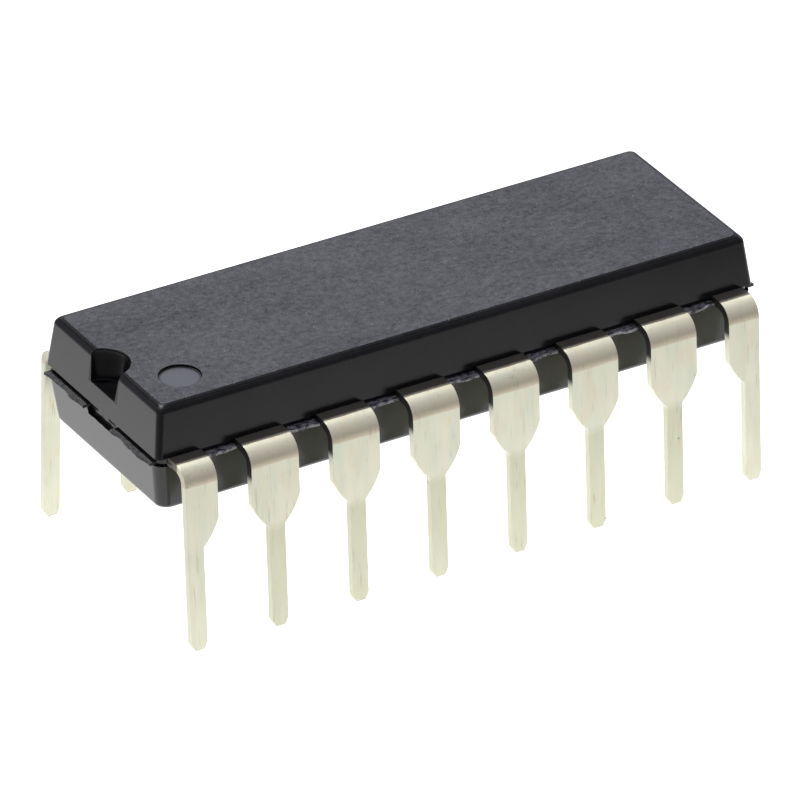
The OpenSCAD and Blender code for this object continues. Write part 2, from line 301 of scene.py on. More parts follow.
class Ground:
    """A node tree in which a pattern is laid out, with its coordinates."""

    def __init__(self, tree: bpy.types.NodeTree, coords: str = "Object") -> None:
        """Empties the tree and adds the coordinates.

        Args:
            tree: The node tree.
            coords: Which coordinates: those of the object, in metres, or the sky's.
        """
        tree.nodes.clear()
        self.add: Adder = partial(add_node, tree)
        self.coords = self.add("TexCoord", {}, coords)

    def noise(self, grain: Triple, detail: float, rough: float = 0.55) -> Socket:
        """Lays out noise whose grain has a size in millimetres along each axis.

        Args:
            grain: Size of one grain along X, Y and Z.
            detail: How many finer layers it has.
            rough: Weight of each finer layer.

        Returns:
            The noise, from 0 to 1.
        """
        scale = tuple(1 / (MM * size) for size in grain)
        scaled = self.add("Mapping", {"Vector": self.coords, "Scale": scale})
        layers = {"Vector": scaled, "Scale": 1.0, "Detail": detail, "Roughness": rough}
        return self.add("TexNoise", layers, "Fac")

    def dots(self, cell: float, size: float, kept: float) -> Socket:
        """Lays out scattered round dots, one at most in each cell.

        Args:
            cell: Size of a cell in millimetres.
            size: Diameter of a dot in millimetres.
            kept: Share of the cells that hold a dot.

        Returns:
            One at a dot's middle and nought outside.
        """
        add, cells = self.add, {"Vector": self.coords, "Scale": 1 / (MM * cell)}
        away = add("TexVoronoi", cells, "Distance")
        near = add("MapRange", (away, 0.0, size / cell / 2, 1.0, 0.0), **EASED)
        shade = add("SeparateColor", (away.node.outputs["Color"],))
        chosen = add("Math", (shade, kept), operation="LESS_THAN")
        return add("Math", (near, chosen), operation="MULTIPLY")

    def ball(self, middle: Triple, reach: Triple) -> Socket:
        """Lays out a ball, or a column where one reach is very long.

        Args:
            middle: Its middle in millimetres.
            reach: How far it reaches along each axis, in millimetres.

        Returns:
            One at its middle, falling to nought at its reach.
        """
        place = {"Vector": self.coords, "Location": metres(middle), "Scale": metres(reach)}
        placed = self.add("Mapping", place, vector_type="TEXTURE")
        return self.add("TexGradient", {"Vector": placed}, "Fac", gradient_type="SPHERICAL")


@dataclass(frozen=True)
class Finish:
    """A finish: a named material whose pattern a subclass lays out."""

    name: str = "finish"

    def material(self) -> bpy.types.Material:
        """Builds the material.

        Returns:
            A material whose surface is one Principled shader.
        """
        made = bpy.data.materials.new(self.name)
        made.use_nodes = True
        ground = Ground(made.node_tree)
        shader = ground.add("BsdfPrincipled", self.surface(ground))
        ground.add("OutputMaterial", {"Surface": shader})
        return made

    def surface(self, ground: Ground) -> dict[str, object]:
        """Lays out the finish's own pattern and gives the shader's inputs."""
        raise NotImplementedError


@dataclass(frozen=True)
class MouldedEpoxy(Finish):
    """Black epoxy filled with fused silica, transfer moulded in a spark-eroded cavity.

    The broad faces copy the eroded cavity: satin, finely speckled and pitted, with a blue-grey
    bloom of mould wax and a few short light scratches. The walls are drawn out along smoother
    steel, and the pin that formed the index recess was polished; its floor is painted paler, a
    painted reflection on its smoother face.
    The long walls of the upper half keep a film of wax, which dulls their sheen, and the
    rounded rim is rubbed dull. All places are in millimetres.
    """

    name: str = "silica_filled_epoxy_moulded"
    dark: str = "#0c0c0d"
    bloom: str = "#131316"
    fleck: str = "#77777f"
    # Painted reflection: the paler floor of the index recess
    recess_sheen: str = "#404144"
    refraction: float = 1.5
    face_rough: Pair = (0.36, 0.44)
    wall_rough: float = 0.18
    recess_rough: float = 0.33
    filler_shine: Pair = (0.2, 0.8)
    wall_shine: float = 0.5
    rim_shine: float = 0.16
    waxed_shine: float = 0.29
    notch_shine: float = 0.22
    worn_share: float = 0.35
    pit_depth: float = 0.022
    top_z: Pair = (7.06, 7.068)
    under_z: Pair = (3.802, 3.81)
    edge_z: Pair = (6.77, 7.07)
    rim_z: Pair = (6.998, 7.034)
    rim_top_z: Pair = (7.0652, 7.0695)
    slope: float = math.tan(math.radians(7))
    flank: Pair = (3.751, 3.809)
    waxed_z: Pair = (5.53, 5.55)
    notch_z: Pair = (6.14, 6.16)
    notch: Triple = (-9.46, 0.0, 0.0)
    notch_reach: Triple = (0.8, 0.8, 1000.0)
    recess: Triple = (-7.94, -1.66, 7.07)
    recess_reach: Triple = (0.56, 0.56, 0.56)

    def surface(self, ground: Ground) -> dict[str, object]:
        """Lays out the bloom, the speckle, the pits and scratches, and the sheen of each part.

        Args:
            ground: The node tree and its coordinates.

        Returns:
            The shader's inputs.
        """
        add = ground.add
        y, height = (add("SeparateXYZ", (ground.coords,), axis) for axis in (1, 2))
        top = add("MapRange", (height, *metres(self.top_z)), **EASED)
        under = add("MapRange", (height, *metres(self.under_z), 1.0, 0.0), **EASED)
        face = add("Math", (top, under), operation="MAXIMUM")
        inside = ground.ball(self.recess, self.recess_reach)
        inside = add("MapRange", (inside, 0.0, 0.1), **EASED)

        speckle = ground.noise((0.16, 0.14, 0.14), 3, 0.8)
        cover = add("Math", (speckle, ground.noise((1.4, 1.1, 1.1), 2)), operation="ADD")
        cover = add("MapRange", (cover, 0.84, 1.16), **EASED)
        lines = ground.noise((1.1, 0.035, 1.0), 1)
        lines = add("MapRange", (lines, 0.68, 0.8, 0.0, 0.3), **EASED)
        marks = add("Math", (ground.dots(0.3, 0.075, 0.2), lines), operation="MAXIMUM")
        marks = add("Math", (marks, face), operation="MULTIPLY")
        # The last layer paints the recess floor paler, a painted reflection
        colour = linear(self.dark)
        for share, code in ((cover, self.bloom), (marks, self.fleck), (inside, self.recess_sheen)):
            layer = {0: share, 6: colour, 7: linear(code)}
            colour = add("Mix", layer, 2, data_type="RGBA")

        pits = ground.dots(0.26, 0.09, 0.5)
        relief = add("Math", (pits, -0.9, speckle), operation="MULTIPLY_ADD")
        for ends in ((face, 0.0, 1.0, 0.03, 1.0), (inside, 0.0, 1.0, 1.0, 0.3)):
            relief = add("Math", (relief, add("MapRange", ends)), operation="MULTIPLY")
        bump = {"Height": relief, "Strength": 1.0, "Distance": self.pit_depth * MM}

        satin = add("MapRange", (cover, 0.0, 1.0, *self.face_rough))
        rough = add("MapRange", (height, *metres(self.edge_z)))
        rough = add("Math", (rough, face), operation="MAXIMUM")
        rough = add("Mix", {0: rough, 2: self.wall_rough, 3: satin}, data_type="FLOAT")
        rough = add("Mix", {0: inside, 2: rough, 3: self.recess_rough}, data_type="FLOAT")

        worn = ground.noise((4.0, 2.0, 2.0), 3, 0.6)
        shine = add("Math", (worn, self.worn_share, speckle), operation="MULTIPLY_ADD")
        middle = (1 + self.worn_share) / 2
        shine = add("MapRange", (shine, middle - 0.2, middle + 0.2, *self.filler_shine))
        shine = add("Mix", {0: face, 2: self.wall_shine, 3: shine}, data_type="FLOAT")
        curved = add("MapRange", (height, *metres(self.rim_z)), **EASED)
        sloped = add("MapRange", (height, *metres(self.rim_top_z), 1.0, 0.0), **EASED)
        across = add("Math", (y,), operation="ABSOLUTE")
        across = add("Math", (height, self.slope, across), operation="MULTIPLY_ADD")
        across = add("MapRange", (across, *metres(self.flank)), **EASED)
        upper = add("MapRange", (height, *metres(self.waxed_z)))
        sunk = ground.ball(self.notch, self.notch_reach)
        sunk = add("MapRange", (sunk, 0.0, 0.02), **EASED)
        above = add("MapRange", (height, *metres(self.notch_z)))
        for first, second, level in (
            (curved, sloped, self.rim_shine),
            (across, upper, self.waxed_shine),
            (sunk, above, self.notch_shine),
        ):
            share = add("Math", (first, second), operation="MULTIPLY")
            shine = add("Mix", {0: share, 2: shine, 3: level}, data_type="FLOAT")
        return {
            "Base Color": colour,
            "Roughness": rough,
            "IOR": self.refraction,
            "Specular IOR Level": shine,
            "Normal": add("Bump", bump),
        }


@dataclass(frozen=True)
class MatteTin(Finish):
    """Matte tin plated on a stamped copper alloy frame.

    The plating is a soft silvery cream that scatters much of its light, with faint streaks
    along the lead. The bend is painted browner, partly for the stretched plating and partly as
    painted shade, most at its lower part. The pins are painted darker and yellower as painted
    shade of their front faces, less so on the outer leads, and the same colour lies faintly at
    random over the rest. It carries a few fine scratches, olive stains and grey dents. The flats
    at each root are painted grey as painted shadow and reflection of the body's wall, the upper
    sides of the blades are painted near black as painted shade, and the cut tips show the darker
    alloy. All places are in millimetres.
    """

    name: str = "matte_tin_plated_alloy"
    cream: str = "#e8e6ce"
    cool: str = "#e1e4cf"
    warm: str = "#e7dfc5"
    # Painted shade on the lower bend, partly stretched plating
    stretch_and_shade: str = "#d6cbb0"
    stain: str = "#b4b496"
    # Painted shade of the pins' front faces, also a faint random tone
    pin_shade_and_tone: str = "#ccccaf"
    scratch: str = "#95917c"
    dent: str = "#7d7a70"
    # Painted shadow and reflection of the body's wall on the flats at each root
    root_shade: str = "#7c766a"
    # Painted shade on the upper sides of the blades
    side_shade: str = "#26241f"
    alloy: str = "#8a8172"
    metal: float = 0.28
    rough: Pair = (0.38, 0.48)
    relief_depth: float = 0.003
    bent_z: Pair = (5.06, 5.1)
    stretch_and_shade_z: Pair = (5.22, 5.52)
    root_shade_y: Pair = (3.55, 3.57)
    root_shade_z: Pair = (5.12, 5.14)
    half_pitch: float = 1.27
    side_shade_x: Pair = (0.529, 0.535)
    side_shade_z: Pair = (4.6, 4.8)
    pin_z: Pair = (2.95, 3.25)
    outer_x: Pair = (6.6, 8.6)
    cut_z: Pair = (0.012, 0.04)

    def surface(self, ground: Ground) -> dict[str, object]:
        """Lays out the streaks and marks, the painted shade and the bare alloy of the cut tips.

        Args:
            ground: The node tree and its coordinates.

        Returns:
            The shader's inputs.
        """
        add = ground.add
        x, y, height = (add("SeparateXYZ", (ground.coords,), axis) for axis in range(3))
        streaks = ground.noise((0.26, 0.26, 2.4), 2)
        clouds = ground.noise((0.55, 0.55, 0.9), 2)
        cool = add("MapRange", (streaks, 0.34, 0.66, 0.0, 0.8), **EASED)
        warm = add("MapRange", (clouds, 0.5, 0.68, 0.0, 0.8), **EASED)

        # Bend mask: painted browner, partly stretched plating and partly painted shade, fading
        # towards its top
        edge = add("Math", (clouds, 0.08 * MM, height), operation="MULTIPLY_ADD")
        bent = add("MapRange", (edge, *metres(self.bent_z)), **EASED)
        eased = add("MapRange", (edge, *metres(self.stretch_and_shade_z), 1.0, 0.3))
        bent = add("Math", (bent, eased), operation="MULTIPLY")

        lines = ground.noise((0.07, 0.07, 1.5), 2, 0.7)
        lines = add("MapRange", (lines, 0.55, 0.75, 0.0, 0.42), **EASED)
        worn = ground.noise((0.4, 0.4, 1.3), 2)
        worn = add("MapRange", (worn, 0.42, 0.6, 0.1, 1.0), **EASED)
        lines = add("Math", (lines, worn), operation="MULTIPLY")
        # Pin mask: pins painted darker and yellower as painted shade, less on the outer leads,
        # with a faint random share all over
        pins = add("MapRange", (height, *metres(self.pin_z), 0.65, 0.0))
        outer = add("Math", (x,), operation="ABSOLUTE")
        outer = add("MapRange", (outer, *metres(self.outer_x), 1.0, 0.3))
        pins = add("Math", (pins, outer), operation="MULTIPLY")
        pins = add("Math", (worn, 0.12, pins), operation="MULTIPLY_ADD")
        stains = ground.dots(0.9, 0.24, 0.12)
        spots = add("Math", (ground.dots(0.24, 0.07, 0.16), bent), operation="MULTIPLY")
        dents = add("Math", (ground.dots(0.8, 0.12, 0.14), spots), operation="MAXIMUM")

        # Root mask: the flats by the body are painted grey as painted shadow and reflection
        out = add("Math", (y,), operation="ABSOLUTE")
        out = add("Math", (clouds, -0.05 * MM, out), operation="MULTIPLY_ADD")
        shaded_root = add("MapRange", (out, *metres(self.root_shade_y), 1.0, 0.0), **EASED)
        above = add("MapRange", (height, *metres(self.root_shade_z)))
        shaded_root = add("Math", (shaded_root, above), operation="MULTIPLY")
        # Side mask: the blades' sides near the body are painted near black as painted shade
        along = add("Math", (x, self.half_pitch * MM), operation="PINGPONG")
        side = add("MapRange", (along, *metres(self.side_shade_x), 1.0, 0.0))
        above = add("MapRange", (height, *metres(self.side_shade_z)))
        shaded_side = add("Math", (side, above), operation="MULTIPLY")
        cut = add("MapRange", (height, *metres(self.cut_z), 0.9, 0.0), **EASED)

        # Layers of colour: the bend, pin, root and side layers are painted shade, the rest the
        # plating's own tone and marks
        colour = linear(self.cream)
        layers = (
            (cool, self.cool), (warm, self.warm), (bent, self.stretch_and_shade), (pins, self.pin_shade_and_tone),
            (lines, self.scratch), (stains, self.stain), (dents, self.dent),
            (shaded_root, self.root_shade), (shaded_side, self.side_shade), (cut, self.alloy),
        )
        for share, code in layers:
            layer = {0: share, 6: colour, 7: linear(code)}
            colour = add("Mix", layer, 2, data_type="RGBA")
        fine = ground.noise((0.05, 0.05, 0.09), 2)
        relief = add("Math", (streaks, 2.0, fine), operation="MULTIPLY_ADD")
        relief = add("Math", (dents, -1.5, relief), operation="MULTIPLY_ADD")
        bump = {"Height": relief, "Strength": 1.0, "Distance": self.relief_depth * MM}
        return {
            "Base Color": colour,
            "Metallic": self.metal,
            "Roughness": add("MapRange", (streaks, 0.3, 0.7, *self.rough)),
            "Normal": add("Bump", bump),
        }


@dataclass(frozen=True)
class Grained(Finish):
    """A grain that the making left, in the colour, the roughness and the relief."""

    first: str = "#4a4038"
    second: str = "#352e28"
    grain: Triple = (1.2, 0.05, 0.05)
    rough: Pair = (0.4, 0.6)
    metallic: float = 1.0
    weight: float = 0.55
    spread: Pair = (0.35, 0.65)
    rough_spread: Pair = (0.3, 0.7)
    relief_depth: float = 0.004

    def surface(self, ground: Ground) -> dict[str, object]:
        """Lays out the grain.

        Args:
            ground: The node tree and its coordinates.

        Returns:
            The shader's inputs.
        """
        add, lines = ground.add, ground.noise(self.grain, 3, self.weight)
        share = add("MapRange", (lines, *self.spread), **EASED)
        colour = {0: share, 6: linear(self.first), 7: linear(self.second)}
        bump = {"Height": lines, "Strength": 1.0, "Distance": self.relief_depth * MM}
        return {
            "Base Color": add("Mix", colour, 2, data_type="RGBA"),
            "Metallic": self.metallic,
            "Roughness": add("MapRange", (lines, *self.rough_spread, *self.rough)),
            "Normal": add("Bump", bump),
        }


@dataclass(frozen=True)
class BrokenResin(Grained):
    """The body's epoxy in the thin flash: dull and torn, and paler where the filler shows."""

    first: str = "#1a1a1b"
    second: str = "#3d3d3f"
    grain: Triple = (0.3, 0.12, 0.12)
    rough: Pair = (0.5, 0.8)
    metallic: float = 0.0
    weight: float = 0.6
    spread: Pair = (0.36, 0.64)
    rough_spread: Pair = (0.0, 1.0)
    relief_depth: float = 0.02


# Flash at the ends, as it came out of the mould: nearly as dark as the body, with a dry grain
MOULDED_FLASH = BrokenResin("epoxy_flash_moulded")

# Flash between the leads, punched through with the dam bar: a pale, crushed edge
PUNCHED_FLASH = BrokenResin("epoxy_flash_punched", "#38383b", "#b4b4b7", (0.18, 0.1, 0.1))

# Copper alloy strip, rolled and then tarnished in the moulding oven: dull brown, streaked along X
ROLLED_ALLOY = Grained("copper_alloy_rolled_tarnished")

# Epoxy filled with silver flake and cured: a fine grey glitter with no direction
SILVER_ADHESIVE = Grained(
    "silver_filled_adhesive_cured", "#b9bcc0", "#8d9094", (0.05, 0.05, 0.05), (0.4, 0.7), 0.6
)

# Silicon lapped and polished: a blue-grey mirror with faint clouds
POLISHED_SILICON = Grained(
    "silicon_polished", "#5a6470", "#4b5262", (0.4, 0.4, 0.4), (0.1, 0.2), 0.7
)

# Gold drawn through a die: bright and yellow, with short fine draw lines
DRAWN_GOLD = Grained("gold_drawn", "#e3b448", "#cf9c34", (0.2, 0.02, 0.02), (0.15, 0.3))


@dataclass
class Moulding:
    """Epoxy body with its notch, index recess, ejector marks and tie-bar windows."""

    length: float = 19.0
    width: float = 6.3
    lower_height: float = 1.52
    upper_height: float = 1.5
    frame_low: float = 5.32
    frame_high: float = 5.57
    draft: float = math.radians(7)
    edge: float = 0.24
    upper_corner: float = 0.18
    lower_corner: float = 0.34
    band_inset: float = 0.07
    band_lap: float = 0.15
    corner_steps: int = 6
    edge_steps: int = 8
    round_sides: int = 96
    over: float = 0.2
    notch_radii: Pair = (0.66, 0.8)
    notch_depth: float = 0.9
    notch_out: float = 0.14
    recess_radii: Pair = (0.59, 0.59)
    recess_depth: float = 0.07
    recess_from_end: float = 1.38
    recess_from_side: float = 1.3
    ejector_radii: Pair = (0.75, 0.75)
    ejector_depth: float = 0.06
    ejector_x: float = 6.2
    soft_rim: float = 0.03
    window_width: float = 1.5
    window_depth: float = 0.14
    window_drop: float = 0.18
    window_rise: float = 0.002
    window_cuts: int = 7
    window_tear: float = 0.02
    smooth_angle: float = 32.0

    @property
    def top_z(self) -> float:
        """Height of the top face."""
        return self.frame_high + self.upper_height

    @property
    def under_z(self) -> float:
        """Height of the underside."""
        return self.frame_low - self.lower_height

    def half(self, name: str, side: int) -> Piece:
        """Models one drafted half of the body.

        Args:
            name: The half's name.
            side: 1 for the upper half, -1 for the lower.

        Returns:
            A closed form in millimetres.
        """
        if side > 0:
            base, height, corner = self.frame_high, self.upper_height, self.upper_corner
        else:
            base, height, corner = self.frame_low, self.lower_height, self.lower_corner
        touch = height - self.edge + self.edge * math.sin(self.draft)
        inset = touch * math.tan(self.draft)
        work = Work.box(name, (self.length, self.width, touch), (0, 0, base + side * touch / 2))

        def outer(spot: Vector, way: Vector) -> bool:
            """Tells whether a face is the half's outer face."""
            return side * way.z > 0.99 and abs(spot.z - base) > touch / 2

        def shrink(sizes: Pair, ring: float) -> Pair:
            """Scales what is picked from its sizes to those at a ring set in, and gives them."""
            new = (self.length - 2 * ring, self.width - 2 * ring)
            work.resize((new[0] / sizes[0], new[1] / sizes[1], 1), (0, 0, base))
            return new

        work.pick(Element.FACE, outer)
        sizes = shrink((self.length, self.width), inset)
        work.pick(Element.EDGE, lambda spot, way: abs(way.z) > 0.9)
        work.bevel(corner, self.corner_steps)
        work.pick(Element.FACE, outer)
        centre_in = inset + self.edge * math.cos(self.draft)
        level = touch
        for i in range(1, self.edge_steps + 1):
            a = self.draft + (math.pi / 2 - self.draft) * i / self.edge_steps
            rise = height - self.edge + self.edge * math.sin(a)
            work.extrude((0, 0, side * (rise - level)))
            sizes = shrink(sizes, centre_in - self.edge * math.cos(a))
            level = rise
        return work.done()

    def bore(self, name: str, place: Triple, depth: float, radii: Pair, side: int) -> Piece:
        """Models the tool of a round sink with a rounded floor edge and a soft rim.

        Args:
            name: The tool's name.
            place: Middle of the rim, on the face.
            depth: Depth of the sink.
            radii: Radius at the floor and at the rim.
            side: 1 for a sink in the top face, -1 for one in the underside.

        Returns:
            A closed form in millimetres.
        """
        soft = min(self.soft_rim, depth / 4)
        wall = depth - soft
        x, y, z = place
        low, high = radii[::side]
        centre = (x, y, z - side * (soft + wall / 2))
        form = {"vertices": self.round_sides, "radius1": low, "radius2": high, "depth": wall}
        work = Work.start(name, bpy.ops.mesh.primitive_cone_add, (1, 1, 1), centre, **form)
        floor = z - side * depth
        work.pick(
            Element.EDGE, lambda spot, way: abs(spot.z - floor) < NEAR and abs(way.z) < 0.1
        )
        work.bevel(soft, 3)
        work.pick(
            Element.FACE,
            lambda spot, way: side * way.z > 0.9 and abs(spot.z - floor) > wall / 2,
        )
        rim = reach = radii[1]
        level = 0.0
        for share, gone in ((0.6, 0.25), (1.0, 1.0), (1.0 + self.over / soft, 1.0)):
            step = rim + soft * gone
            work.extrude((0, 0, side * soft * (share - level)))
            work.resize((step / reach, step / reach, 1), (x, y, z))
            level, reach = share, step
        return work.done()

    def window(self, name: str, side: int, dice: random.Random) -> Piece:
        """Models the tool of the torn window round the end of a tie bar.

        Args:
            name: The tool's name.
            side: -1 for the notched end, 1 for the other.
            dice: Source of the torn outline.

        Returns:
            A closed form in millimetres.
        """
        low = self.frame_low - self.window_drop
        high = self.frame_high + self.window_rise
        depth = self.window_depth + self.over
        x = side * (self.length / 2 - self.window_depth + depth / 2)
        sizes = (depth, self.window_width, high - low)
        work = Work.box(name, sizes, (x, 0, (low + high) / 2))
        work.split(self.window_cuts)
        wide = self.window_width / 2 - NEAR
        work.pick(Element.VERT, lambda spot, way: spot.z < low + NEAR or abs(spot.y) > wide)
        seed = dice.randrange(1000)
        bpy.ops.transform.vertex_random(offset=self.window_tear, uniform=0.5, seed=seed)
        return work.done()

    def build(self) -> Piece:
        """Models the body: two halves round a set-back band, and then its marks.

        Returns:
            The finished piece, in metres.
        """
        dice = random.Random(7)
        body = self.half("epoxy_body", 1)
        lower = self.half("lower_half", -1)
        length, width = (v - 2 * self.band_inset for v in (self.length, self.width))
        thick = self.frame_high - self.frame_low + 2 * self.band_lap
        middle = (self.frame_high + self.frame_low) / 2
        band = Work.box("band", (length, width, thick), (0, 0, middle))
        band.pick(Element.EDGE, lambda spot, way: abs(way.z) > 0.9)
        band.bevel(self.lower_corner, self.corner_steps)
        combine(body, band.done(), Join.ADD)
        combine(body, lower, Join.ADD)

        drawn_in = self.upper_height * math.tan(self.draft)
        end, flank = self.length / 2 - drawn_in, self.width / 2 - drawn_in
        notch = (-end - self.notch_out, 0, self.top_z)
        recess = (self.recess_from_end - end, self.recess_from_side - flank, self.top_z)
        tools = [
            self.bore("notch_tool", notch, self.notch_depth, self.notch_radii, 1),
            self.bore("recess_tool", recess, self.recess_depth, self.recess_radii, 1),
        ]
        for side in (-1, 1):
            mark = (side * self.ejector_x, 0, self.under_z)
            tools += [
                self.bore("ejector_tool", mark, self.ejector_depth, self.ejector_radii, -1),
                self.window("window_tool", side, dice),
            ]
        for tool in tools:
            combine(body, tool, Join.CUT)
        smooth(body, self.smooth_angle)
        to_metres(body)
        return body

    def dress(self, body: Piece, finish: bpy.types.Material) -> None:
        """Gives the body its finish and its place in the frame."""
        body.data.materials.append(finish)
        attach(body, "root")
        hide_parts("mould_body")


@dataclass
class Flash:
    """Thin ragged resin round the parting plane, broken off by hand and by the dam-bar cut."""

    body: Moulding
    thickness: float = 0.085
    level: float = 0.05
    end_reach: float = 0.17
    side_reach: float = 0.23
    corner: float = 0.25
    spacing: float = 0.1
    root: float = 0.16
    rows: int = 4
    second_row: float = 0.55
    kept: float = 0.74
    chips: float = 0.06
    waves: tuple[Triple, ...] = ((0.16, 210, 0), (0.1, 475, 60))
    grain: float = 0.09
    grain_height: float = 0.02

    def ragged(self, along: float) -> float:
        """Share of its reach that the flash keeps at a distance along the edge."""
        return self.kept + sum(
            height * math.sin(math.radians(turn * along + start))
            for height, turn, start in self.waves
        )

    def strip(
        self, name: str, ends: Pair, reach: float, wall: float, turn: float
    ) -> Piece:
        """Models one strip along a wall.

        Args:
            name: The strip's name.
            ends: Where it starts and stops along the wall.
            reach: Its furthest reach.
            wall: Distance from the body's middle to the wall.
            turn: Turn about the upright, in degrees, that brings it to its wall.

        Returns:
            A closed form in metres.
        """
        dice = random.Random(name)
        start, stop = ends
        steps = math.ceil((stop - start) / self.spacing)
        middle = self.body.frame_low + self.level
        depth = self.root + reach
        place = ((start + stop) / 2, -wall + self.root - depth / 2, middle)
        form = {"size": 1, "x_subdivisions": steps, "y_subdivisions": self.rows}
        sizes = (stop - start, depth, 1)
        work = Work.start(name, bpy.ops.mesh.primitive_grid_add, sizes, place, **form)
        for i in range(steps + 1):
            x = start + (stop - start) * i / steps
            torn = reach * (1 - self.ragged(x) + dice.uniform(-self.chips, self.chips))
            for row, share in enumerate((1, self.second_row)):
                spot_y = -wall - reach + row * depth / self.rows
                work.pick(
                    Element.VERT,
                    lambda spot, way: abs(spot.x - x) < NEAR and abs(spot.y - spot_y) < NEAR,
                )
                work.move((0, max(torn, 0.0) * share, 0))
        work.split(1)
        piece = work.done()
        modify(piece, "SOLIDIFY", thickness=self.thickness, offset=0, use_even_offset=True)
        grain = bpy.data.textures.new("torn_grain", "CLOUDS")
        grain.noise_scale = self.grain
        grain.noise_depth = 2
        how = {"texture_coords": "LOCAL", "direction": "Z", "mid_level": 0.5}
        modify(piece, "DISPLACE", texture=grain, strength=self.grain_height, **how)
        piece.rotation_euler = (0, 0, math.radians(turn))
        settle(piece)
        to_metres(piece)
        return piece

    def build(self) -> list[Piece]:
        """Models the strips of both sides and both ends.

        Returns:
            The six strips, with the two of the sides first.
        """
        side = self.body.length / 2 - self.body.lower_corner
        near = self.body.window_width / 2
        far = self.body.width / 2 - self.corner
        plan = [
            (f"flash_{name}", (-side, side), self.side_reach, self.body.width / 2, turn)
            for name, turn in (("front", 0), ("back", 180))
        ]
        plan += [
            (f"flash_{name}_{part}", ends, self.end_reach, self.body.length / 2, turn)
            for name, turn in (("left", -90), ("right", 90))
            for part, ends in (("a", (-far, -near)), ("b", (near, far)))
        ]
        return [self.strip(*values) for values in plan]

    def dress(self, strips: Iterable[Piece]) -> None:
        """Gives the two side strips and the four end strips their finishes and their places."""
        punched, moulded = PUNCHED_FLASH.material(), MOULDED_FLASH.material()
        for number, strip in enumerate(strips):
            strip.data.materials.append(punched if number < 2 else moulded)
            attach(strip, "root")
            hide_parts("mould_body")


